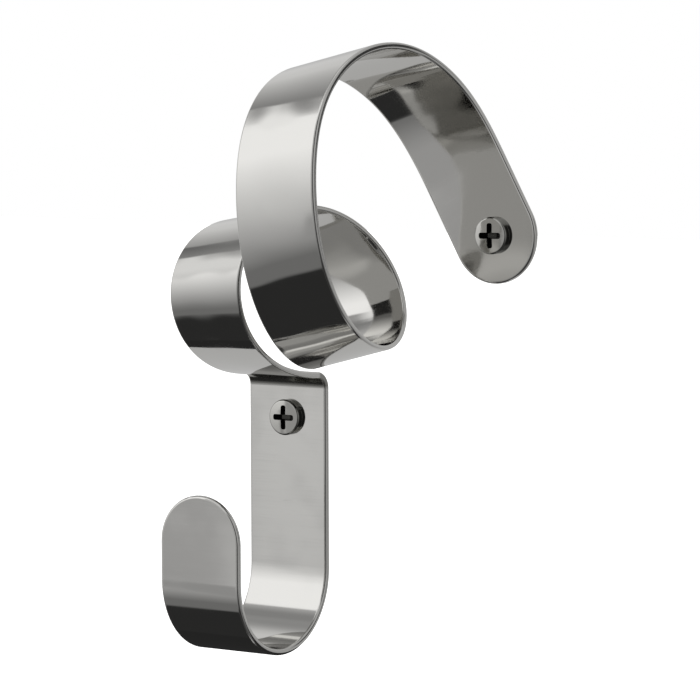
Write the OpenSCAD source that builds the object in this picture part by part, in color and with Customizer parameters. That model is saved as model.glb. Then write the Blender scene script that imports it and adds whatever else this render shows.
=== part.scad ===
// Wall hook: one polished steel strip bent into a lower hook and a double curl, with two pan-head screws.
// The wall is the plane Y = 0 and the hook stands out from it towards -Y. Z = 0 is half way up the lower plate.
// The strip is laid out like a bend table: flat lengths, bend radii and, for the curl, the radius and the
// lead angle at stations 25 mm apart. The lead is what carries each turn sideways past the one before.

/* [Strip] */
// Width of the steel strip
strip_w = 25; // [24:0.5:25.5]
// Thickness of the steel strip
strip_t = 1.8; // [1.5:0.1:2]

/* [Lower hook] */
// Height of the flat lower plate between the hook bend and the fold
plate_h = 47.5; // [40:0.5:60]
// Inside radius of the half-round hook bend
hook_r = 19; // [14:0.5:22]
// Straight part of the upturned tip, below its rounded end
tip_flat = 10; // [4:0.5:25]

/* [Fold] */
// Inside radius of the tight fold at the top of the lower plate
fold_r = 3; // [2.8:0.1:3.2]
// Angle of the fold
fold_deg = 85; // [84:0.5:86]

/* [Curl radius] */
// Radius where the curl leaves the fold
bend_0 = 84; // [80:1:90]
// Radius 25 mm on, under the small ring
bend_1 = 34; // [33:0.5:35]
// Radius 50 mm on, at the front of the small ring
bend_2 = 16; // [15.9:0.1:16.2]
// Radius 75 mm on, over the small ring
bend_3 = 23; // [22.5:0.5:23.5]
// Radius 100 mm on, coming down beside the wall
bend_4 = 23.5; // [23:0.5:24]
// Radius 125 mm on, above the fold
bend_5 = 19; // [18.9:0.1:19.1]
// Radius 150 mm on, under the big loop
bend_6 = 29; // [28.5:0.5:29.5]
// Radius 175 mm on, up the front of the big loop
bend_7 = 44; // [43.5:0.5:45]
// Radius 200 mm on, higher up the front
bend_8 = 65; // [63:1:67]
// Radius 225 mm on, where the front turns over
bend_9 = 26; // [25.5:0.5:26.5]
// Radius 250 mm on, over the top
bend_10 = 28; // [27.5:0.5:28.5]
// Radius 275 mm on, coming down to the wall
bend_11 = 25; // [24.5:0.5:25.5]

/* [Curl lead] */
// Lead angle 25 mm from the fold
lead_1 = 7; // [6.5:0.5:7.5]
// Lead angle 50 mm on
lead_2 = 13; // [12.5:0.5:13.5]
// Lead angle 75 mm on
lead_3 = 18; // [17.5:0.5:18.5]
// Lead angle 100 mm on
lead_4 = 18; // [17.5:0.5:18.5]
// Lead angle 125 mm on
lead_5 = 13.5; // [13:0.5:14]
// Lead angle 150 mm on
lead_6 = 12; // [11.5:0.5:12.5]
// Lead angle 175 mm on
lead_7 = 13.5; // [13:0.5:14]
// Lead angle 200 mm on
lead_8 = 7; // [6.5:0.5:7.5]
// Lead angle 225 mm on
lead_9 = 8; // [7.5:0.5:8.5]
// Lead angle 250 mm on
lead_10 = 19; // [18.5:0.5:19.5]
// Lead angle 275 mm on
lead_11 = 13; // [12.5:0.5:13.5]
// Lead angle where the strip lies flat on the wall again
lead_12 = -0.5; // [-1:0.5:0]

/* [Upper end] */
// Flat length on the wall above the centre of the rounded upper end
end_flat = 15.5; // [15:0.5:30]

/* [Screws] */
// Diameter of the two screw holes
hole_d = 5.4; // [5.2:0.1:6]
// Distance of the lower hole below the start of the fold
hole_drop = 8; // [6.5:0.5:14]
// Distance of the upper hole above the centre of the rounded upper end
hole_up = 0; // [0:0.5:8]
// Thread diameter of the screws
screw_d = 4.8; // [4.5:0.1:5]
// Length of a screw under its head
screw_len = 16; // [13, 16, 19]
// Length of the tapered screw point
point_len = 4; // [3.5:0.5:4.5]
// Diameter of the plain neck under the head
neck_d = 4.2; // [4:0.1:4.4]
// Length of the plain neck
neck_len = 2.4; // [2:0.1:3]
// Diameter of the pan head
head_d = 9.6; // [9:0.1:10.5]
// Height of the head's straight side
rim_h = 1.3; // [1:0.1:2]
// Radius of the rounded shoulder above the straight side
shoulder_r = 0.6; // [0.3:0.1:0.9]
// Rise of the shallow dome inside the shoulder
dome_h = 0.2; // [0.1:0.1:0.6]
// Length across the mouth of the cross recess
recess_l = 6; // [5:0.1:6.4]
// Length across the floor of the cross recess
recess_floor = 2.4; // [1.6:0.1:3]
// Width of a recess slot
recess_w = 1.1; // [0.9:0.1:1.3]
// Depth of the cross recess
recess_deep = 1.7; // [1:0.1:1.8]

/* [Hidden] */
$fn = 96;
station = 25;
curl_len = 12 * station;
steps = 168;
step_len = curl_len / steps;
end_land = 2.5;
cut_over = 1;
half_w = strip_w / 2;
mid_hook = hook_r + strip_t / 2;
mid_fold = fold_r + strip_t / 2;
z_top = plate_h / 2;
z_hole = z_top - hole_drop;
point_d = 0.6;
steel = [0.80, 0.80, 0.79];
screw_steel = [0.74, 0.74, 0.73];

// Bend and lead at each station, and the three small corrections that bring the curl flat on to the wall.
radii = [bend_0, bend_1, bend_2, bend_3, bend_4, bend_5, bend_6, bend_7, bend_8, bend_9, bend_10, bend_11];
leads = [0, lead_1, lead_2, lead_3, lead_4, lead_5, lead_6, lead_7, lead_8, lead_9, lead_10, lead_11, lead_12];

// Curvature at station i, with the front scaled by u[2] and the descent to the wall by u[0].
function curve_at(i, u) =
    i == 12 ? 0 : (1 / radii[i]) * (i == 7 || i == 8 ? 1 + u[2] : i >= 10 ? 1 + u[0] : 1);
// Tangent of the lead angle at station i, with the descent to the wall shifted by u[1].
function skew_at(i, u) = tan(leads[i]) + (i == 10 || i == 11 ? u[1] : 0);
function curve_table(u) = [for (i = [0:12]) [i * station, curve_at(i, u)]];
function skew_table(u) = [for (i = [0:12]) [i * station, skew_at(i, u)]];

// A vector turned about the unit axis a by d degrees.
function turned(v, a, d) = v * cos(d) + cross(a, v) * sin(d) + a * (a * v) * (1 - cos(d));

// A frame is [point, across the strip, along the strip]. One step bends it by curvature k with skew q.
function stepped(f, k, q) =
    let (axis = f[1] + q * f[2])
    let (a = axis / norm(axis))
    let (d = -k * step_len * norm(axis) * 180 / PI)
    [f[0] + step_len * turned(f[2], a, d / 2), turned(f[1], a, d), turned(f[2], a, d)];

// The frame where the fold ends and the curl starts.
fold_end = [
    [0, -strip_t / 2 - mid_fold * (1 - cos(fold_deg)), z_top + mid_fold * sin(fold_deg)],
    [1, 0, 0],
    [0, -sin(fold_deg), cos(fold_deg)]
];

function curl_frames(u) =
    let (kt = curve_table(u))
    let (qt = skew_table(u))
    [for (i = 0, f = fold_end; i <= steps;
        f = stepped(f, lookup((i + 0.5) * step_len, kt), lookup((i + 0.5) * step_len, qt)), i = i + 1) f];

// How far the last frame is from lying flat on the wall: two tilts and the distance from the wall.
function wall_error(u) =
    let (f = curl_frames(u)[steps])
    let (n = cross(f[1], f[2]))
    [30 * n[0], 30 * n[2], f[0][1] + strip_t / 2];

function det3(a, b, c) = a * cross(b, c);
function seated(u, n) =
    n == 0 ? u :
    let (e = wall_error(u))
    let (h = 0.0001)
    let (a = (wall_error(u + [h, 0, 0]) - e) / h)
    let (b = (wall_error(u + [0, h, 0]) - e) / h)
    let (c = (wall_error(u + [0, 0, h]) - e) / h)
    let (d = det3(a, b, c))
    seated(u - [det3(e, b, c), det3(a, e, c), det3(a, b, e)] / d, n - 1);

fix = seated([0, 0, 0], 4);
frames = curl_frames(fix);
skews = skew_table(fix);
last = frames[steps];
// The frame at the end of the curl, squared up to the wall.
flat_along = [last[2][0], 0, last[2][2]] / norm([last[2][0], 0, last[2][2]]);
flat_across = [-flat_along[2], 0, flat_along[0]];
flat_at = [last[0][0], -strip_t / 2, last[0][2]];
// Turn of the upper plate in the wall's plane, from straight down.
end_turn = atan2(flat_along[0], -flat_along[2]);
end_centre = flat_at + flat_along * end_flat;
upper_hole = end_centre - flat_along * hole_up;

// The four corners of the strip's section at a frame, the section line being skewed by q, less an inset.
function corners(f, q, inset = 0) =
    let (n = cross(f[1], f[2]) * (strip_t / 2 - inset))
    let (s = (f[1] + q * f[2]) * (half_w - inset))
    [f[0] - s + n, f[0] + s + n, f[0] + s - n, f[0] - s - n];

// The curl is let into the fold and into the upper plate by a short tongue at each end.
joint_inset = 0.01;
tongue_inset = 0.1;
tongue_deg = fold_deg - 8;
tongue_len = 1.5;
tongue_start = [
    [0, -strip_t / 2 - mid_fold * (1 - cos(tongue_deg)), z_top + mid_fold * sin(tongue_deg)],
    [1, 0, 0],
    [0, -sin(tongue_deg), cos(tongue_deg)]
];
land_frame = [flat_at + flat_along * end_land, flat_across, flat_along];
tongue_end = [flat_at + flat_along * (end_land + tongue_len), flat_across, flat_along];

// The curl, from the fold's end to the flat on the wall.
module curl() {
    rings = concat(
        [corners(tongue_start, 0, tongue_inset), corners(fold_end, 0, joint_inset)],
        [for (i = [1:steps]) corners(frames[i], lookup(i * step_len, skews))],
        [corners(land_frame, 0, joint_inset), corners(tongue_end, 0, tongue_inset)]);
    count = len(rings);
    points = [for (r = rings) each r];
    sides = [for (i = [0:count - 2]) for (j = [0:3])
        let (a = 4 * i + j, b = 4 * i + (j + 1) % 4) each [[a, b + 4, b], [a, a + 4, b + 4]]];
    last_ring = 4 * (count - 1);
    polyhedron(points, concat(sides, [[0, 1, 2, 3],
        [last_ring + 3, last_ring + 2, last_ring + 1, last_ring]]));
}

// A flat length of strip lying on the wall, from local Z = 0 up to h, with a rounded end if asked.
module flat_strip(h, rounded) {
    translate([-half_w, -strip_t, 0]) cube([strip_w, strip_t, h]);
    if (rounded) translate([0, 0, h]) rotate([90, 0, 0]) cylinder(h = strip_t, r = half_w);
}

// A bend of the strip about the X axis, centred on the origin, from angle a0 through deg.
module bend(r, a0, deg) {
    rotate([0, 90, 0]) rotate([0, 0, a0]) rotate_extrude(angle = deg)
        translate([r, -half_w]) square([strip_t, strip_w]);
}

module whole_strip() {
    translate([0, 0, -z_top]) flat_strip(plate_h, false);
    translate([0, -strip_t - hook_r, -z_top]) bend(hook_r, -90, 180);
    translate([0, -strip_t - 2 * hook_r, -z_top]) flat_strip(tip_flat, true);
    translate([0, -strip_t - fold_r, z_top]) bend(fold_r, 90, fold_deg);
    curl();
    translate([flat_at[0], 0, flat_at[2]]) rotate([0, 180 - end_turn, 0]) translate([0, 0, end_land])
        flat_strip(end_flat - end_land, true);
}

// The clearance hole for a screw, cut past both faces of a strip that lies on the wall.
module screw_hole() {
    translate([0, cut_over, 0]) rotate([90, 0, 0]) cylinder(h = strip_t + 2 * cut_over, d = hole_d);
}

// The bent strip with its two clearance holes.
module hook_strip() {
    color(steel) difference() {
        whole_strip();
        translate([0, 0, z_hole]) screw_hole();
        translate([upper_hole[0], 0, upper_hole[2]]) screw_hole();
    }
}

// The head's top inside the shoulder is part of a sphere.
head_h = rim_h + shoulder_r + dome_h;
dome_w = head_d / 2 - shoulder_r;
dome_r = (dome_w * dome_w + dome_h * dome_h) / (2 * dome_h);
dome_steps = 6;

// Half of the head's section: base, straight side, rounded shoulder and dome.
head_section = concat(
    [[0, 0]],
    [[head_d / 2, 0]],
    [for (a = [0:15:90]) [dome_w + shoulder_r * cos(a), rim_h + shoulder_r * sin(a)]],
    [for (i = [dome_steps - 1:-1:0])
        let (x = dome_w * i / dome_steps) [x, head_h - dome_r + sqrt(dome_r * dome_r - x * x)]]);

// One slot of the cross recess, with the head's top at Z = 0: it shortens towards its floor.
module recess_slot() {
    rotate([90, 0, 0]) linear_extrude(height = recess_w, center = true) polygon([
        [-recess_l / 2, cut_over], [recess_l / 2, cut_over], [recess_l / 2, 0],
        [recess_floor / 2, -recess_deep], [-recess_floor / 2, -recess_deep], [-recess_l / 2, 0]]);
}

// A pan-head screw along Y, its head seated on the strip's front face.
module pan_screw(turn_deg) {
    translate([0, -strip_t, 0]) rotate([90, turn_deg, 0]) {
        difference() {
            rotate_extrude() polygon(head_section);
            translate([0, 0, head_h]) for (a = [0, 90]) rotate([0, 0, a]) recess_slot();
        }
        translate([0, 0, -neck_len]) cylinder(h = neck_len, d = neck_d);
        translate([0, 0, point_len - screw_len])
            cylinder(h = screw_len - point_len - neck_len, d = screw_d);
        translate([0, 0, -screw_len]) cylinder(h = point_len, d1 = point_d, d2 = screw_d);
    }
}

module lower_screw() {
    color(screw_steel) translate([0, 0, z_hole]) pan_screw(0);
}

module upper_screw() {
    color(screw_steel) translate([upper_hole[0], 0, upper_hole[2]]) pan_screw(6);
}

hook_strip();
lower_screw();
upper_screw();
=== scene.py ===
import math
import bpy
import numpy as np
from mathutils import Matrix, Vector
from mathutils.geometry import tessellate_polygon


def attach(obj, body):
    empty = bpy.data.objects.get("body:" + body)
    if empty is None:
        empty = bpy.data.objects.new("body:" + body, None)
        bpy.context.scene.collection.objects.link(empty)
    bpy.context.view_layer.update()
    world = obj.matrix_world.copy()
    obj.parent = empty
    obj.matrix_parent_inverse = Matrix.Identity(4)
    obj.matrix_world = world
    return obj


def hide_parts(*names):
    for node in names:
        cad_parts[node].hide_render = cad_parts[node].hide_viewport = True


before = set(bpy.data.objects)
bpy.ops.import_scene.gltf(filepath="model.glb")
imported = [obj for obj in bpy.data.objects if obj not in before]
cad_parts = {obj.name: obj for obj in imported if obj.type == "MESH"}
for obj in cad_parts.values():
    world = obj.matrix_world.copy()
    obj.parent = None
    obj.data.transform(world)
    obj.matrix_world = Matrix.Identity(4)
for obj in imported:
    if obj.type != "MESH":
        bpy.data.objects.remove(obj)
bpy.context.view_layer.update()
print("frame loaded:", ", ".join(sorted(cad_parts)))

mm = 0.001  # sizes below are millimetres, Blender works in metres
easeMiddle = 0.3  # how far in the middle of a rounded lip lies, as a part of its size


# Small helpers

def hexColor(code):  # sRGB hex to the linear colour that a shader wants
    channels = [int(code[i:i + 2], 16) / 255 for i in (1, 3, 5)]
    return [c / 12.92 if c <= 0.04045 else ((c + 0.055) / 1.055) ** 2.4 for c in channels] + [1.0]


def addNode(tree, kind, settings=None, feeds=(), **links):  # one node, its settings and what feeds it
    node = tree.nodes.new(kind)
    for name, value in (settings or {}).items():
        if isinstance(name, int) or name in node.inputs:
            node.inputs[name].default_value = value
        else:
            setattr(node, name, value)
    for socket, source in list(enumerate(feeds)) + list(links.items()):
        if source is not None:
            tree.links.new(source, node.inputs[socket])
    return node


def unit(v):
    return v / np.linalg.norm(v)


def turned(v, axis, angle):  # v turned about a unit axis
    c, s = math.cos(angle), math.sin(angle)
    return v * c + np.cross(axis, v) * s + axis * (axis @ v) * (1 - c)


class MeshDraft:  # gathers points with their true normals, then faces
    def __init__(self):
        self.points, self.normals, self.faces, self.flat = [], [], [], []

    def add(self, point, normal, flat=(0.0, 0.0)):  # flat: millimetres across and along the unbent piece
        self.points.append(point)
        self.normals.append(unit(normal))
        self.flat.append(flat)
        return len(self.points) - 1

    def face(self, *corners):  # wound so that it faces the way its corners' normals do
        p = [self.points[i] for i in corners]
        out = sum(self.normals[i] for i in corners)
        area = sum(np.cross(p[i] - p[0], p[i + 1] - p[0]) for i in range(1, len(p) - 1))
        self.faces.append(corners if area @ out >= 0 else corners[::-1])

    def bridge(self, rowA, rowB, closed=False):
        count = len(rowA)
        for i in range(count if closed else count - 1):
            j = (i + 1) % count
            self.face(rowA[i], rowA[j], rowB[j], rowB[i])

    def stack(self, rings):  # closed rings, each joined to the next
        for a, b in zip(rings, rings[1:]):
            self.bridge(a, b, closed=True)

    def fan(self, ring, point):  # a closed ring, each of its edges joined to one point
        for a, b in zip(ring, ring[1:] + ring[:1]):
            self.face(a, b, point)

    def fill(self, *loops):  # a flat face with holes, all its triangles wound the same way
        flat = [i for loop in loops for i in loop]
        triangles = [[flat[i] for i in tri] for tri in
                     tessellate_polygon([[Vector(self.points[i]) for i in loop] for loop in loops])]
        facing = 0.0
        for a, b, c in triangles:
            area = np.cross(self.points[b] - self.points[a], self.points[c] - self.points[a])
            facing += area @ (self.normals[a] + self.normals[b] + self.normals[c])
        self.faces += triangles if facing >= 0 else [tri[::-1] for tri in triangles]

    def toObject(self, name):
        mesh = bpy.data.meshes.new(name)
        mesh.from_pydata([tuple(p * mm) for p in self.points], [], self.faces)
        mesh.shade_smooth()
        mesh.normals_split_custom_set_from_vertices([tuple(n) for n in self.normals])
        layout = mesh.attributes.new("flatPlace", "FLOAT2", "POINT")
        layout.data.foreach_set("vector", [value for pair in self.flat for value in pair])
        mesh.validate()
        obj = bpy.data.objects.new(name, mesh)
        bpy.context.scene.collection.objects.link(obj)
        return obj


# The strip: the same bend table as the solid's, with finer steps and eased edges

strip = {
    "width": 25.0,
    "thickness": 1.8,
    "edgeRadius": 0.75,  # nearly full round, from the polishing wheel
    "edgeSteps": 8,
    "plateHeight": 47.5,
    "hookRadius": 19.0,
    "tipFlat": 10.0,
    "foldRadius": 3.0,
    "foldAngle": 85.0,
    "station": 25.0,  # distance between the bend radii and leads below
    "bendRadii": (84, 34, 16, 23, 23.5, 19, 29, 44, 65, 26, 28, 25),
    "leads": (0, 7, 13, 18, 18, 13.5, 12, 13.5, 7, 8, 19, 13, -0.5),  # slant of the bend lines, in degrees
    "endFlat": 15.5,
    "endStations": (10, 11),  # small corrections here, and at the front, seat the end on the wall
    "frontStations": (7, 8),
    "seatTries": 4,
    "seatNudge": 1e-4,
    "seatArm": 30.0,  # a tilt of the end counts as the distance that it makes over this length
    "holeDiameter": 5.4,
    "holeDrop": 8.0,
    "holeEdge": 0.15,
    "steps": 504,  # sections along the curl
    "across": 8,  # faces across the flat of the strip
    "hookSteps": 90,
    "foldSteps": 24,
    "endSteps": 48,
    "holeSides": 64,
    "rollOff": 0.45,  # how much the polishing wheel thins the right edge, on the inside of the ring
    "rollOffReach": 4.5,
    "rollOffRuns": (2.0, 16.0, 150.0, 190.0),  # along the strip: start, full, fading, end
}


def curlFrames(spec, fix):  # point, across and along at each step from the fold to the wall
    stations = np.arange(len(spec["leads"])) * spec["station"]
    end, front = list(spec["endStations"]), list(spec["frontStations"])
    curve = np.array([1 / r for r in spec["bendRadii"]] + [0.0])
    skew = np.tan(np.radians(spec["leads"]))
    curve[end] *= 1 + fix[0]
    skew[end] += fix[1]
    curve[front] *= 1 + fix[2]
    fold = math.radians(spec["foldAngle"])
    midFold = spec["foldRadius"] + spec["thickness"] / 2
    point = np.array([0, -spec["thickness"] / 2 - midFold * (1 - math.cos(fold)),
                      spec["plateHeight"] / 2 + midFold * math.sin(fold)])
    across, along = np.array([1.0, 0, 0]), np.array([0, -math.sin(fold), math.cos(fold)])
    step = stations[-1] / spec["steps"]
    rows = [(point, across, along, 0.0, 0.0)]
    for i in range(spec["steps"]):
        middle = (i + 0.5) * step
        k, q = np.interp(middle, stations, curve), np.interp(middle, stations, skew)
        axis = across + q * along
        size = np.linalg.norm(axis)
        angle = -k * step * size
        point = point + step * turned(along, axis / size, angle / 2)
        across, along = turned(across, axis / size, angle), turned(along, axis / size, angle)
        run = (i + 1) * step
        rows.append((point, across, along, float(np.interp(run, stations, skew)), run))
    return rows


def wallError(spec, fix):  # tilts and distance that keep the end off the wall
    point, across, along = curlFrames(spec, fix)[-1][:3]
    normal = np.cross(across, along)
    arm = spec["seatArm"]
    return np.array([arm * normal[0], arm * normal[2], point[1] + spec["thickness"] / 2])


def seatedCurl(spec):  # the small corrections that bring the end flat on to the wall
    fix, nudge = np.zeros(3), spec["seatNudge"]
    for _ in range(spec["seatTries"]):
        error = wallError(spec, fix)
        slopes = [(wallError(spec, fix + h) - error) / nudge for h in np.eye(3) * nudge]
        fix = fix - np.linalg.solve(np.array(slopes).T, error)
    return curlFrames(spec, fix)


def edgeProfile(spec):  # from one face round the edge to the other: outward, off the middle, the normal
    r, half, thick = spec["edgeRadius"], spec["width"] / 2, spec["thickness"] / 2
    top = []
    for a in np.linspace(0, math.pi / 2, spec["edgeSteps"] + 1):
        top.append((half - r + r * math.sin(a), thick - r + r * math.cos(a), math.sin(a), math.cos(a)))
    return top + [(out, -off, nOut, -nOff) for out, off, nOut, nOff in reversed(top)]


def sectionRow(draft, spec, ring):  # one section of the strip: face, edge, back, edge
    point, across, along, skew, run = ring
    normal, line = np.cross(across, along), across + skew * along
    side = edgeProfile(spec)
    inner, thick = spec["width"] / 2 - spec["edgeRadius"], spec["thickness"] / 2
    flat = inner * np.sin(np.linspace(-math.pi / 2, math.pi / 2, spec["across"] + 1))
    reach = spec["rollOffReach"]
    rollOff = spec["rollOff"] * np.interp(run, spec["rollOffRuns"], (0, 1, 1, 0))
    face = [draft.add(point + line * w + normal * thick, normal, (w, run + skew * w)) for w in flat]
    back = []
    for w in flat[::-1]:
        thinned = rollOff * math.exp((w - inner) / reach)
        back.append(draft.add(point + line * w - normal * (thick - thinned),
                              across * thinned / reach - normal, (w, run + skew * w)))
    edges = []
    for way, profile in ((1, side[1:-1]), (-1, side[-2:0:-1])):
        thinned = rollOff * math.exp((way - 1) * inner / reach) / (2 * thick)
        edges.append([draft.add(point + line * way * out + normal * (off + thinned * (thick - off)),
                                across * way * nOut + normal * nOff, (way * out, run + skew * way * out))
                      for out, off, nOut, nOff in profile])
    right, left = edges
    return {"face": face, "right": [face[-1]] + right + [back[0]],
            "back": back, "left": [back[-1]] + left + [face[0]]}


def bridgeRows(draft, a, b, parts=("face", "right", "back", "left")):
    for part in parts:
        draft.bridge(a[part], b[part])


def sweep(draft, spec, row, rings):  # carries the strip on from a row, and gives its last row
    for ring in rings:
        nextRow = sectionRow(draft, spec, ring)
        bridgeRows(draft, row, nextRow)
        row = nextRow
    return row


def holeLoops(draft, spec, centre, across, along, run):  # a drilled hole, its eased lips, face side first
    normal = np.cross(across, along)
    r, lip, thick = spec["holeDiameter"] / 2, spec["holeEdge"], spec["thickness"] / 2
    halfway, slant = easeMiddle * lip, 0.7  # the middle of the lip, and its normal there
    levels = [(r + lip, thick, 0, 1),
              (r + halfway, thick - halfway, -slant, slant),
              (r, thick - lip, -1, 0)]
    levels += [(a, -b, c, -d) for a, b, c, d in reversed(levels)]
    loops = []
    for radius, off, nOut, nOff in levels:
        loop = []
        for a in np.linspace(0, 2 * math.pi, spec["holeSides"], endpoint=False):
            ray = across * math.cos(a) + along * math.sin(a)
            loop.append(draft.add(centre + ray * radius + normal * off, ray * nOut + normal * nOff,
                                  (radius * math.cos(a), run + radius * math.sin(a))))
        loops.append(loop)
    draft.stack(loops)
    return loops[0], loops[-1]


def roundEnd(draft, spec, row, ring, way):  # the half-round end past a section, and both faces' outlines
    point, across, along, _, run = ring
    normal = np.cross(across, along)
    side = edgeProfile(spec)
    previous = row["right"]
    faceEdge, backEdge = [row["face"][-1]], [row["back"][0]]
    for a in np.linspace(0, math.pi, spec["endSteps"] + 1)[1:-1]:
        c, s = math.cos(a), way * math.sin(a)
        ray = across * c + along * s
        spoke = [draft.add(point + ray * out + normal * off, ray * nOut + normal * nOff,
                           (out * c, run + out * s)) for out, off, nOut, nOff in side]
        draft.bridge(previous, spoke)
        previous = spoke
        faceEdge.append(spoke[0])
        backEdge.append(spoke[-1])
    draft.bridge(previous, row["left"][::-1])
    return faceEdge + [row["face"][0]], backEdge + [row["back"][-1]]


def buildStrip(spec):
    draft = MeshDraft()
    thick, radius = spec["thickness"], spec["hookRadius"]
    top = spec["plateHeight"] / 2
    x, z = np.array([1.0, 0, 0]), np.array([0, 0, 1.0])

    # runs are measured along the strip from the end of the fold, as the curl's stations are
    midHook, midFold = radius + thick / 2, spec["foldRadius"] + thick / 2
    fold = math.radians(spec["foldAngle"])
    plateRun = -midFold * fold
    bendRun = plateRun - spec["plateHeight"]
    tipRun = bendRun - midHook * math.pi

    # lower hook, from its tip to the plate
    rings = []
    for a in np.linspace(0, math.pi, spec["hookSteps"] + 1):
        c, s = math.cos(a), math.sin(a)
        rings.append((np.array([0, -thick - radius - midHook * c, -top - midHook * s]),
                      x, np.array([0, s, -c]), 0.0, tipRun + midHook * a))
    tip = (rings[0][0] + z * spec["tipFlat"], x, rings[0][2], 0.0, tipRun - spec["tipFlat"])
    row = sectionRow(draft, spec, tip)
    faceEdge, backEdge = roundEnd(draft, spec, row, tip, -1)
    draft.fill(faceEdge[:-1] + row["face"][:-1])
    draft.fill(backEdge[:-1] + row["back"][:0:-1])
    row = sweep(draft, spec, row, rings)

    # lower plate with its screw hole, then the fold
    folds = []
    for a in np.linspace(0, fold, spec["foldSteps"] + 1)[:-1]:
        c, s = math.cos(a), math.sin(a)
        folds.append((np.array([0, -thick / 2 - midFold * (1 - c), top + midFold * s]),
                      x, np.array([0, -s, c]), 0.0, plateRun + midFold * a))
    plateTop = sectionRow(draft, spec, folds[0])
    lowerHole = np.array([0, -thick / 2, top - spec["holeDrop"]])
    faceHole, backHole = holeLoops(draft, spec, lowerHole, x, z, plateRun - spec["holeDrop"])
    bridgeRows(draft, row, plateTop, ("right", "left"))
    draft.fill(row["face"] + plateTop["face"][::-1], faceHole)
    draft.fill(row["back"] + plateTop["back"][::-1], backHole)
    row = sweep(draft, spec, plateTop, folds[1:])

    # the double curl, and the flat upper end with its screw hole
    curl = seatedCurl(spec)
    row = sweep(draft, spec, row, curl)
    point, across, along, _, run = curl[-1]
    endRun = run + spec["endFlat"]
    upperHole = point + along * spec["endFlat"]  # the centre of the half-round end
    end = (upperHole, across, along, 0.0, endRun)
    endRow = sectionRow(draft, spec, end)
    faceHole, backHole = holeLoops(draft, spec, upperHole, across, along, endRun)
    bridgeRows(draft, row, endRow, ("right", "left"))
    faceEdge, backEdge = roundEnd(draft, spec, endRow, end, 1)
    draft.fill(row["face"] + faceEdge, faceHole)
    draft.fill(row["back"][::-1] + backEdge, backHole)
    return draft.toObject("bentStrip"), lowerHole, upperHole


stripObject, lowerHole, upperHole = buildStrip(strip)
print("strip built:", len(stripObject.data.vertices), "points, upper hole at", np.round(upperHole, 3))


# The screws: pan heads with a rounded shoulder and a cross recess, a plain neck and a coarse thread

screw = {
    "headDiameter": 9.6,
    "rimHeight": 1.3,
    "shoulder": 0.6,
    "shoulderSteps": 9,
    "domeRise": 0.2,
    "baseEase": 0.08,
    "recessLength": 6.3,
    "recessWidth": 1.4,
    "recessDepth": 1.7,
    "recessCorner": 0.5,  # rounding of an arm's tip, worn by the driver
    "recessHub": 0.2,  # rounding where two arms meet
    "recessLip": 0.09,
    "wallLean": 0.12,  # how far the recess walls look up
    "floorLength": 2.6,
    "floorWidth": 1.12,
    "floorCorner": 0.3,
    "floorHub": 0.15,
    "floorRise": 0.25,  # of its rim above its middle
    "neckDiameter": 4.2,
    "neckLength": 2.4,
    "neckTaper": 0.3,
    "threadDiameter": 4.8,
    "coreDiameter": 3.4,
    "pitch": 1.6,
    "threadStops": (0.0, 0.45, 0.72, 0.78),  # parts of a pitch: where root and crest start and end
    "threadStart": 0.5,  # pitches over which the thread rises to its full height
    "length": 16.0,
    "pointLength": 4.0,
    "pointDiameter": 0.6,
    "sides": 96,
    "threadSides": 40,
}
screwPlaces = {  # name of the piece, centre of its hole, and turn in degrees
    "lower_screw": ("panScrewLower", lowerHole, 0.0),
    "upper_screw": ("panScrewUpper", upperHole, -1.0),
}


def crossOutline(length, width, corner, inner):  # points of a rounded cross and the way into it at each
    cornerPoints, hubPoints = 5, 4
    points = []
    for quarter in range(4):
        arm = []
        tipX, tipY = length / 2 - corner, width / 2 - corner
        for centreY, start in ((-tipY, -90), (tipY, 0)):
            for a in np.radians(np.linspace(start, start + 90, cornerPoints)):
                c, s = math.cos(a), math.sin(a)
                arm.append((tipX + corner * c, centreY + corner * s, -c, -s))
        hub = width / 2 + inner
        for a in np.radians(np.linspace(270, 180, hubPoints)):
            c, s = math.cos(a), math.sin(a)
            arm.append((hub + inner * c, hub + inner * s, c, s))
        c, s = math.cos(quarter * math.pi / 2), math.sin(quarter * math.pi / 2)
        points += [(x * c - y * s, x * s + y * c, u * c - v * s, u * s + v * c) for x, y, u, v in arm]
    return points


def threadRadius(spec, run, phase):  # radius at a distance from the neck's end, and a place in the pitch
    core, crest = spec["coreDiameter"] / 2, spec["threadDiameter"] / 2
    total = spec["length"] - spec["neckLength"]
    cut = np.interp(phase % 1, [*spec["threadStops"], 1], [0, 0, 1, 1, 0])
    rise = min(1.0, run / (spec["threadStart"] * spec["pitch"]))
    left = (total - run) / spec["pointLength"]
    taper = min(1.0, max(left, 0.0))
    tip = spec["pointDiameter"] / 2
    return tip + (core + (crest - core) * cut * rise - tip) * taper


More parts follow.
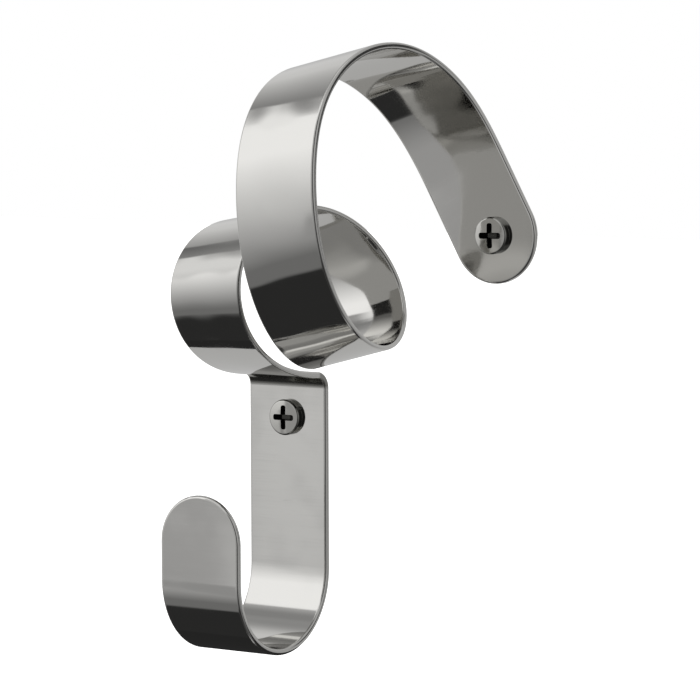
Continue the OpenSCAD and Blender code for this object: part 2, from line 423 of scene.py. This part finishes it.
def buildScrew(spec, name, hole, turnDegrees):
    draft = MeshDraft()
    turn = math.radians(turnDegrees)
    right = np.array([math.cos(turn), 0, -math.sin(turn)])
    up = np.array([math.sin(turn), 0, math.cos(turn)])
    out = np.array([0, -1.0, 0])
    seat = np.array([hole[0], -strip["thickness"], hole[2]])

    def put(x, y, z, nx, ny, nz):
        return draft.add(seat + right * x + up * y + out * z, right * nx + up * ny + out * nz, (x, y))

    def ringOf(radius, z, nOut, nz, sides=spec["sides"]):
        ring = []
        for a in np.linspace(0, 2 * math.pi, sides, endpoint=False):
            c, s = math.cos(a), math.sin(a)
            ring.append(put(radius * c, radius * s, z, nOut * c, nOut * s, nz))
        return ring

    # head: seat, side, shoulder, and a shallow dome that meets the shoulder smoothly
    headR, neckR, ease = spec["headDiameter"] / 2, spec["neckDiameter"] / 2, spec["baseEase"]
    shoulder, rim = spec["shoulder"], spec["rimHeight"]
    slope = 2 * math.atan(spec["domeRise"] / (headR - shoulder))
    sides, halfway = spec["threadSides"], easeMiddle * ease
    rows = [ringOf(headR - ease, 0, 0, -1),
            ringOf(headR - halfway, halfway, 1, -1),
            ringOf(headR, ease, 1, 0)]
    draft.fill(rows[0], ringOf(neckR, 0, 0, -1, sides))
    for a in np.linspace(0, math.pi / 2 - slope, spec["shoulderSteps"] + 1):
        c, s = math.cos(a), math.sin(a)
        rows.append(ringOf(headR - shoulder * (1 - c), rim + shoulder * s, c, s))
    draft.stack(rows)
    domeEdge = headR - shoulder * (1 - math.sin(slope))
    domeRadius = domeEdge / math.sin(slope)
    domeBase = rim + shoulder * math.cos(slope) - domeRadius * math.cos(slope)

    def domeHeight(x, y):
        return domeBase + math.sqrt(domeRadius ** 2 - x * x - y * y)

    # recess: eased lip, walls that close in towards the floor, and a shallow conical floor
    lip, lean = spec["recessLip"], spec["wallLean"]
    bottom = domeHeight(0, 0) - spec["recessDepth"]
    floorRim = bottom + spec["floorRise"]
    halfway = easeMiddle * lip
    levels = []
    for grown, drop, tilt in ((lip, 0.0, None), (halfway, halfway, 1.0), (0.0, lip, lean)):
        outline = crossOutline(spec["recessLength"] + 2 * grown, spec["recessWidth"] + 2 * grown,
                               spec["recessCorner"] + grown, spec["recessHub"] - grown)
        level = []
        for x, y, u, v in outline:
            if tilt is None:
                level.append(put(x, y, domeHeight(x, y), x / domeRadius, y / domeRadius, 1))
            else:
                level.append(put(x, y, domeHeight(x, y) - drop, u, v, tilt))
        levels.append(level)
    floorOutline = crossOutline(spec["floorLength"], spec["floorWidth"],
                                spec["floorCorner"], spec["floorHub"])
    levels.append([put(x, y, floorRim, u, v, lean) for x, y, u, v in floorOutline])
    draft.fill(rows[-1], levels[0])
    shineFaces = len(draft.faces)
    draft.stack(levels)
    draft.fan([put(x, y, floorRim, 0, 0, 1) for x, y, _, _ in floorOutline], put(0, 0, bottom, 0, 0, 1))
    recessFaces = len(draft.faces)

    # shank: neck, then the thread as columns of points that climb one pitch in a turn
    taperLean = -0.6  # the neck's taper looks down a little
    draft.stack([ringOf(neckR, 0, 1, 0, sides),
                 ringOf(neckR, -spec["neckLength"] + spec["neckTaper"], 1, 0, sides),
                 ringOf(spec["coreDiameter"] / 2, -spec["neckLength"], 1, taperLean, sides)])
    total, pitch = spec["length"] - spec["neckLength"], spec["pitch"]
    turns, stops = math.ceil(total / pitch) + 1, spec["threadStops"]
    near = 0.1  # pitches either side, for the slope at a point
    samePlace = 1e-6  # points closer than this are one corner
    columns = []
    for i in range(sides):
        angle = 2 * math.pi * i / sides
        column = []
        for j in range(len(stops) * (turns + 1)):
            phase = j // len(stops) + stops[j % len(stops)]
            run = min(max((phase - 1 + i / sides) * pitch, 0.0), total)
            radius = threadRadius(spec, run, phase)
            slant = (threadRadius(spec, run + near * pitch, phase + near)
                     - threadRadius(spec, run - near * pitch, phase - near)) / (2 * near * pitch)
            c, s = math.cos(angle), math.sin(angle)
            column.append(put(radius * c, radius * s, -spec["neckLength"] - run, c, s, slant))
        columns.append(column)
    columns.append(columns[0][len(stops):])
    for a, b in zip(columns, columns[1:]):
        for j in range(min(len(a), len(b)) - 1):
            corners = []
            for k in (a[j], a[j + 1], b[j + 1], b[j]):  # a corner that repeats another is left out
                if all(np.linalg.norm(draft.points[k] - draft.points[m]) > samePlace for m in corners):
                    corners.append(k)
            if len(corners) > 2:
                draft.face(*corners)
    end = ringOf(spec["pointDiameter"] / 2, -spec["length"], 1, -1, sides)
    draft.fan(end, put(0, 0, -spec["length"], 0, 0, -1))
    return draft.toObject(name), shineFaces, recessFaces


screwObjects = {node: buildScrew(screw, *place) for node, place in screwPlaces.items()}
print("screws built:", ", ".join(str(len(o.data.vertices)) for o, _, _ in screwObjects.values()), "points")


# Camera at the photograph's viewing angle

camera = {
    "azimuth": 34.477,  # degrees, as elevation and roll are
    "elevation": 5.0,
    "roll": -0.195,
    "distance": 1006.04,
    "target": (29.352, -15.0, 35.94),
    "lens": 199.945,
    "sensor": 36.0,
    "clip": (0.05, 50.0),  # metres
}


def placeCamera(spec):
    az, el, roll = (math.radians(spec[k]) for k in ("azimuth", "elevation", "roll"))
    back = np.array([math.sin(az) * math.cos(el), -math.cos(az) * math.cos(el), math.sin(el)])
    right = np.array([math.cos(az), math.sin(az), 0.0])
    up = np.cross(back, right)
    right, up = turned(right, back, roll), turned(up, back, roll)
    data = bpy.data.cameras.new("photoCamera")
    data.lens, data.sensor_width = spec["lens"], spec["sensor"]
    data.clip_start, data.clip_end = spec["clip"]
    obj = bpy.data.objects.new("photoCamera", data)
    bpy.context.scene.collection.objects.link(obj)
    position = (np.array(spec["target"]) + spec["distance"] * back) * mm
    rows = [[right[i], up[i], back[i], position[i]] for i in range(3)]
    obj.matrix_world = Matrix(rows + [[0, 0, 0, 1]])
    bpy.context.scene.camera = obj


placeCamera(camera)
print("camera placed")


# Studio: a grey room, white to the camera alone, with soft cards all round the object and a pale floor at the
# height it has below a coat hook. A card is the patch of the surroundings between some corners, each given as
# azimuth and elevation seen from the hook; azimuth 0 is straight out from the wall and +90 is to the right.
# Its level fades from one direction to another, and its edge is soft by some degrees. The polished steel
# shows little of its own: what the eye reads as its tone is these cards.

studio = {
    "roomLevel": 0.55,
    "cards": [
        {"name": "leftWall", "corners": [(-60, -20), (-60, 75), (-138, 75), (-138, -20)],
         "fade": ((-80, 40, 0.31), (-124, 36, 0.76)), "soft": 5},
        {"name": "leftCeiling", "corners": [(-85, 48), (-85, 80), (-150, 80), (-150, 48)],
         "fade": ((-80, 40, 0.32), (-124, 36, 0.42)), "soft": 5},
        {"name": "frontRight", "corners": [(-33.8, -80), (-33.8, 78), (60, 78), (60, -80)],
         "fade": ((20, -42, 0.06), (20, 6, 0.58)), "soft": 3},
        {"name": "right", "corners": [(50, -80), (50, 78), (110, 78), (110, -80)],
         "fade": ((80, -42, 0.1), (80, 6, 0.5)), "soft": 6},
        {"name": "backRight", "corners": [(100, -80), (100, 78), (160, 78), (160, -80)],
         "fade": ((120, -75, 0.2), (120, -15, 0.46)), "soft": 6},
        {"name": "ceiling", "corners": [(0, 70), (90, 70), (180, 70), (-90, 70)],
         "fade": ((0, 60, 0.8), (0, 90, 0.8)), "soft": 5},
        {"name": "ceilingLight", "corners": [(-33.8, 34), (-33.8, 52), (30, 50), (30, 36)],
         "fade": ((0, 30, 0.95), (0, 50, 0.95)), "soft": 3},
        {"name": "window", "corners": [(-33.8, -62), (-33.8, 64), (-40, 63), (-61, 34), (-79, -50)],
         "fade": ((-40, -31, 0.2), (-40, 16, 1.22)), "soft": 1.2},
        {"name": "windowHead", "corners": [(-78, 40.2), (-60, 33.2), (-56, 22), (-77, 35.5)],
         "fade": ((-40, -31, 0.2), (-40, 16, 1.15)), "soft": 1.2},
        {"name": "windowSide", "corners": [(-79, 32.5), (-58, 18.5), (-58, -47), (-100, -50), (-92, 5)],
         "fade": ((-40, -31, 0.2), (-40, 16, 0.95)), "soft": 1.2},
        {"name": "darkPicture", "corners": [(-72, 33.5), (-92, 36.5), (-92, 30), (-76, 28.5)],
         "fade": ((-92, 30, 0.16), (-70, 28, 0.35)), "soft": 1.5},
        {"name": "curtain", "corners": [(-33.8, -38), (-33.8, 5), (-10, 5), (-10, -38)],
         "fade": ((-24, -36, 0.22), (-24, -14, 0.42)), "soft": 1.2},
        {"name": "windowBar", "corners": [(-36.15, -22), (-36.15, -2), (-39, -2), (-39, -22)],
         "fade": ((-37, -11, 0.37), (-37, -8.2, 0.45)), "soft": 0.3},
        {"name": "darkFloor",
         "corners": [(-21, -40), (-43, -39), (-63, -35), (-112, -48), (-90, -80), (-25, -70)],
         "fade": ((-90, -60, 0.03), (-90, -30, 0.03)), "soft": 1.5},
        {"name": "doorway", "corners": [(114, -8), (112, 28), (138, 28), (138, -8)],
         "fade": ((120, -22, 0.04), (120, 22, 0.04)), "soft": 4},
        {"name": "cameraStand", "corners": [(15, -58), (15, 44), (50, 44), (50, -58)],
         "fade": ((30, -60, 0.02), (30, 40, 0.05)), "soft": 5},
    ],
    "floorDrop": 1.3,  # metres from the hook to the floor
    "floorSize": 40.0,
    # painted shade: a dark sheet that stands for the shaded wall below the hook, and how faintly it glows
    "shadeSheet": (-200, 150, -300, -50, 0.5),  # left, right, bottom and top, and how far behind the wall face
    "shadeSheetLevel": 0.025,
}


def toward(azimuth, elevation):
    az, el = math.radians(azimuth), math.radians(elevation)
    return np.array([math.sin(az) * math.cos(el), -math.cos(az) * math.cos(el), math.sin(el)])


def cardMask(tree, ray, card):  # 1 inside the card's corners, falling softly to 0 outside
    corners = [toward(*c) for c in card["corners"]]
    middle = sum(corners)
    blur = math.sin(math.radians(card["soft"]))
    mask = None
    for a, b in zip(corners, corners[1:] + corners[:1]):
        side = unit(np.cross(a, b))
        side = side if side @ middle > 0 else -side
        inward = addNode(tree, "ShaderNodeVectorMath", {"operation": "DOT_PRODUCT", 1: side}, [ray])
        edge = addNode(tree, "ShaderNodeMapRange",
                       {"interpolation_type": "SMOOTHSTEP", "From Min": -blur, "From Max": blur},
                       Value=inward.outputs["Value"]).outputs["Result"]
        if mask is None:
            mask = edge
        else:
            mask = addNode(tree, "ShaderNodeMath", {"operation": "MULTIPLY"}, [mask, edge]).outputs[0]
    return mask


def cardShade(tree, ray, card):  # the card's level, fading from its first direction to its second
    (azA, elA, levelA), (azB, elB, levelB) = card["fade"]
    start, end = toward(azA, elA), toward(azB, elB)
    axis = unit(end - start)
    along = addNode(tree, "ShaderNodeVectorMath", {"operation": "DOT_PRODUCT", 1: axis}, [ray])
    return addNode(tree, "ShaderNodeMapRange",
                   {"From Min": start @ axis, "From Max": end @ axis, "To Min": levelA, "To Max": levelB},
                   Value=along.outputs["Value"]).outputs["Result"]


def buildWorld(spec):
    world = bpy.data.worlds.new("studioRoom")
    bpy.context.scene.world = world
    world.use_nodes = True
    tree = world.node_tree
    tree.nodes.clear()
    ray = addNode(tree, "ShaderNodeTexCoord").outputs["Generated"]
    level = None
    for card in spec["cards"]:
        blend = addNode(tree, "ShaderNodeMix", {"data_type": "FLOAT", "A": spec["roomLevel"]},
                        [cardMask(tree, ray, card)], A=level, B=cardShade(tree, ray, card))
        level = blend.outputs["Result"]
    room = addNode(tree, "ShaderNodeBackground", {"Color": (1, 1, 1, 1)}, Strength=level)
    white = addNode(tree, "ShaderNodeBackground", {"Color": (1, 1, 1, 1), "Strength": 1.0})
    seen = addNode(tree, "ShaderNodeLightPath").outputs["Is Camera Ray"]
    pick = addNode(tree, "ShaderNodeMixShader", feeds=[seen, room.outputs[0], white.outputs[0]])
    addNode(tree, "ShaderNodeOutputWorld", Surface=pick.outputs[0])


def stageSheet(name, corners, surface):  # a flat sheet of the studio with the given shader nodes
    mesh = bpy.data.meshes.new(name)
    mesh.from_pydata(corners, [], [(0, 1, 2, 3)])
    sheet = bpy.data.objects.new(name, mesh)
    bpy.context.scene.collection.objects.link(sheet)
    material = bpy.data.materials.new(name + "Paper")
    material.use_nodes = True
    material.node_tree.nodes.clear()
    surface(material.node_tree)
    mesh.materials.append(material)
    return sheet


def whitePaper(tree):  # white to the camera, and it still takes the object's shadow
    paper = addNode(tree, "ShaderNodeBsdfDiffuse", {"Color": hexColor("#F4F4F2")})
    seen = addNode(tree, "ShaderNodeLightPath").outputs["Is Camera Ray"]
    glow = addNode(tree, "ShaderNodeEmission", Strength=seen)
    both = addNode(tree, "ShaderNodeAddShader", feeds=[paper.outputs[0], glow.outputs[0]])
    addNode(tree, "ShaderNodeOutputMaterial", Surface=both.outputs[0])


# painted shade: a faint glow that stands for the shaded wall below the hook
def paintedWallShade(tree):
    shade = addNode(tree, "ShaderNodeEmission", {"Strength": studio["shadeSheetLevel"]})
    addNode(tree, "ShaderNodeOutputMaterial", Surface=shade.outputs[0])


def buildSheets(spec):
    half, drop = spec["floorSize"] / 2, -spec["floorDrop"]
    corners = [(-half, -half, drop), (half, -half, drop), (half, half, drop), (-half, half, drop)]
    floor = stageSheet("paleFloor", corners, whitePaper)
    floor.visible_glossy = False

    # painted shade: a dark sheet for the shaded wall close below the lower hook; only the underside of the
    # lower hook mirrors it
    left, right, bottom, top, back = (value * mm for value in spec["shadeSheet"])
    corners = [(left, back, bottom), (right, back, bottom), (right, back, top), (left, back, top)]
    shadeSheet = stageSheet("paintedWallShade", corners, paintedWallShade)
    shadeSheet.visible_camera = False
    shadeSheet.visible_diffuse = False
    shadeSheet.visible_shadow = False
    shadeSheet.visible_transmission = False


buildWorld(studio)
buildSheets(studio)
print("studio built:", len(studio["cards"]), "cards")


# Materials. All three read "flatPlace", the millimetres across and along the piece before it was bent, so
# that the marks of making follow the strip round its bends.

steelLook = {
    "colour": "#D4D3D0",
    "cornerColour": "#A8A7A2",  # a darker tone in the tight fold
    "cornerRun": (-5.6, -4.8, -0.4, 0.4),  # along the strip: start, full, fading, end
    "cornerDulling": 0.16,
    "roughness": 0.045,
    "marks": (  # size across and along the strip, turn in degrees, noise levels that show, roughness added
        (16.0, 16.0, 0.0, 0.45, 0.75, 0.055),  # patches rubbed and handled after polishing
        (14.0, 0.3, 0.0, 0.5, 0.8, 0.03),  # polishing lines, drawn coarser than the wheel's real grit
        (9.0, 0.7, 12.0, 0.71, 0.76, 0.05),  # a few hairline scratches
    ),
    "markDetail": 2.0,
    "edgeStart": 11.5,  # from here out the edge is only ground, not polished
    "edgeEase": 0.4,
    "edgeDulling": 0.095,
    "waveSize": (12.0, 12.0),  # slow waviness of the curl, bent by hand; the plate and hook have none
    "waveHeight": 0.15,
    "waveRun": (-1.0, 14.0, 262.0, 288.0),  # along the strip: start, full, fading, end
    "rippleSize": (40.0, 5.0),  # faint ripples across the strip, left by the bending rolls
    "rippleHeight": 0.02,
}
screwLook = {
    "colour": "#C8C7C3",
    "roughness": 0.07,
    "ringSpacing": 1.885,  # turning rings on the head, drawn far coarser than the tool's feed
    "ringHeight": 0.0015,
    "ringWaver": 0.6,
    "flankShadeColour": "#888884",  # painted shade: the head's side darker, next to the plate
    "flankShadeRadius": (4.35, 4.7),
    "blotchSize": 2.2,
    "blotchDetail": 3.0,
    "blotchLevels": (0.4, 0.75),  # noise levels that show
    "blotchRoughness": 0.13,
}
# the recess: its unpolished finish, darkened further with painted shade
recessShadeLook = {
    "colour": "#4A4A47",
    "roughness": 0.35,
    "grainSize": 0.25,
    "grainDetail": 3.0,
    "grainHeight": 0.01,
}


def newMaterial(name):  # an empty material with its output and one Principled surface
    material = bpy.data.materials.new(name)
    material.use_nodes = True
    tree = material.node_tree
    tree.nodes.clear()
    surface = addNode(tree, "ShaderNodeBsdfPrincipled")
    addNode(tree, "ShaderNodeOutputMaterial", Surface=surface.outputs[0])
    place = addNode(tree, "ShaderNodeAttribute", {"attribute_name": "flatPlace"}).outputs["Vector"]
    return material, tree, surface, place


def runBand(tree, run, start, full, fading, end):  # 1 between two places along the strip, 0 outside them
    entering = addNode(tree, "ShaderNodeMapRange", {"From Min": start, "From Max": full}, Value=run)
    leaving = addNode(tree, "ShaderNodeMapRange", {"From Min": end, "From Max": fading}, Value=run)
    return addNode(tree, "ShaderNodeMath", {"operation": "MULTIPLY"},
                   [entering.outputs[0], leaving.outputs[0]]).outputs[0]


def polishedSteel(look):  # mirror-polished stainless steel: neutral, sharp reflections that ripple a little
    material, tree, steel, place = newMaterial("polishedStainlessSteel")
    steel.inputs["Metallic"].default_value = 1.0
    sides = addNode(tree, "ShaderNodeSeparateXYZ", Vector=place)
    fromMiddle = addNode(tree, "ShaderNodeMath", {"operation": "ABSOLUTE"}, [sides.outputs["X"]]).outputs[0]
    run = sides.outputs["Y"]

    # the fold can't be reached by the wheel, so its polish is duller; it is also darker in tone
    corner = runBand(tree, run, *look["cornerRun"])
    tone = addNode(tree, "ShaderNodeMix", {"data_type": "RGBA", 6: hexColor(look["colour"]),
                                           7: hexColor(look["cornerColour"])}, [corner])
    tree.links.new(tone.outputs[2], steel.inputs["Base Color"])

    # the polish is duller in the fold, at the marks, and on the ground edges
    dulled = addNode(tree, "ShaderNodeMapRange", {"To Min": look["roughness"],
                                                  "To Max": look["roughness"] + look["cornerDulling"]},
                     Value=corner).outputs[0]
    for across, along, turn, faint, strong, most in look["marks"]:
        stretched = addNode(tree, "ShaderNodeMapping", {"Rotation": (0, 0, math.radians(turn)),
                                                        "Scale": (1 / across, 1 / along, 1)}, Vector=place)
        noise = addNode(tree, "ShaderNodeTexNoise", {"Scale": 1.0, "Detail": look["markDetail"]},
                        Vector=stretched.outputs[0])
        mark = addNode(tree, "ShaderNodeMapRange", {"From Min": faint, "From Max": strong, "To Max": most},
                       Value=noise.outputs["Fac"])
        dulled = addNode(tree, "ShaderNodeMath", {"operation": "ADD"}, [dulled, mark.outputs[0]]).outputs[0]
    ground = addNode(tree, "ShaderNodeMapRange", {
        "From Min": look["edgeStart"], "From Max": look["edgeStart"] + look["edgeEase"],
        "To Max": look["edgeDulling"]}, Value=fromMiddle)
    total = addNode(tree, "ShaderNodeMath", {"operation": "ADD"}, [dulled, ground.outputs[0]])
    tree.links.new(total.outputs[0], steel.inputs["Roughness"])

    # slow waves, and the rolls' ripples on them
    curled = runBand(tree, run, *look["waveRun"])
    bent = None
    for (across, along), height, strength in ((look["waveSize"], look["waveHeight"], curled),
                                              (look["rippleSize"], look["rippleHeight"], None)):
        stretched = addNode(tree, "ShaderNodeMapping", {"Scale": (1 / across, 1 / along, 1)}, Vector=place)
        noise = addNode(tree, "ShaderNodeTexNoise", {"Scale": 1.0, "Detail": 0.0},
                        Vector=stretched.outputs[0])
        bent = addNode(tree, "ShaderNodeBump", {"Strength": 1.0, "Distance": height * mm},
                       Height=noise.outputs["Fac"], Strength=strength, Normal=bent).outputs[0]
    tree.links.new(bent, steel.inputs["Normal"])
    return material


def turnedSteel(look):  # plated screw steel: a touch greyer, with turning rings and blotchy plating
    material, tree, steel, place = newMaterial("platedScrewSteel")
    steel.inputs["Metallic"].default_value = 1.0
    radius = addNode(tree, "ShaderNodeVectorMath", {"operation": "LENGTH"}, [place]).outputs["Value"]
    # painted shade: darker towards the head's edge and down its side
    flankShade = addNode(tree, "ShaderNodeMapRange", {"From Min": look["flankShadeRadius"][0],
                                                 "From Max": look["flankShadeRadius"][1]}, Value=radius)
    tone = addNode(tree, "ShaderNodeMix", {"data_type": "RGBA", 6: hexColor(look["colour"]),
                                           7: hexColor(look["flankShadeColour"])}, [flankShade.outputs[0]])
    tree.links.new(tone.outputs[2], steel.inputs["Base Color"])
    blotches = addNode(tree, "ShaderNodeTexNoise", {"Scale": 1 / look["blotchSize"],
                                                    "Detail": look["blotchDetail"]}, Vector=place)
    faint, strong = look["blotchLevels"]
    dull = addNode(tree, "ShaderNodeMapRange", {"From Min": faint, "From Max": strong,
                                                "To Min": look["roughness"],
                                                "To Max": look["blotchRoughness"]},
                   Value=blotches.outputs["Fac"])
    tree.links.new(dull.outputs[0], steel.inputs["Roughness"])
    waveScale = 2 * math.pi / (20 * look["ringSpacing"])  # the wave texture turns 20 radians in a millimetre
    rings = addNode(tree, "ShaderNodeTexWave", {"wave_type": "RINGS", "rings_direction": "Z",
                                                "Distortion": look["ringWaver"], "Scale": waveScale},
                    Vector=place)
    grain = addNode(tree, "ShaderNodeBump", {"Strength": 1.0, "Distance": look["ringHeight"] * mm},
                    Height=rings.outputs["Fac"])
    tree.links.new(grain.outputs[0], steel.inputs["Normal"])
    return material


def paintedShadeRecess(look):  # the driver recess: unpolished, and darkened with painted shade for its depth, so it reads almost black
    material, tree, steel, place = newMaterial("recessPaintedShade")
    steel.inputs["Base Color"].default_value = hexColor(look["colour"])
    steel.inputs["Metallic"].default_value = 1.0
    steel.inputs["Roughness"].default_value = look["roughness"]
    grain = addNode(tree, "ShaderNodeTexNoise", {"Scale": 1 / look["grainSize"],
                                                 "Detail": look["grainDetail"]}, Vector=place)
    bump = addNode(tree, "ShaderNodeBump", {"Strength": 1.0, "Distance": look["grainHeight"] * mm},
                   Height=grain.outputs["Fac"])
    tree.links.new(bump.outputs[0], steel.inputs["Normal"])
    return material


stripObject.data.materials.append(polishedSteel(steelLook))
screwSteel, recessShadeSteel = turnedSteel(screwLook), paintedShadeRecess(recessShadeLook)
for name, (obj, shineFaces, recessFaces) in screwObjects.items():
    obj.data.materials.append(screwSteel)
    obj.data.materials.append(recessShadeSteel)
    # the recess faces take the material with painted shade
    for polygon in obj.data.polygons[shineFaces:recessFaces]:
        polygon.material_index = 1
    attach(obj, "root")
    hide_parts(name)
print("materials built")

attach(stripObject, "root")
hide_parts("hook_strip")
bpy.context.scene.view_settings.view_transform = "Standard"
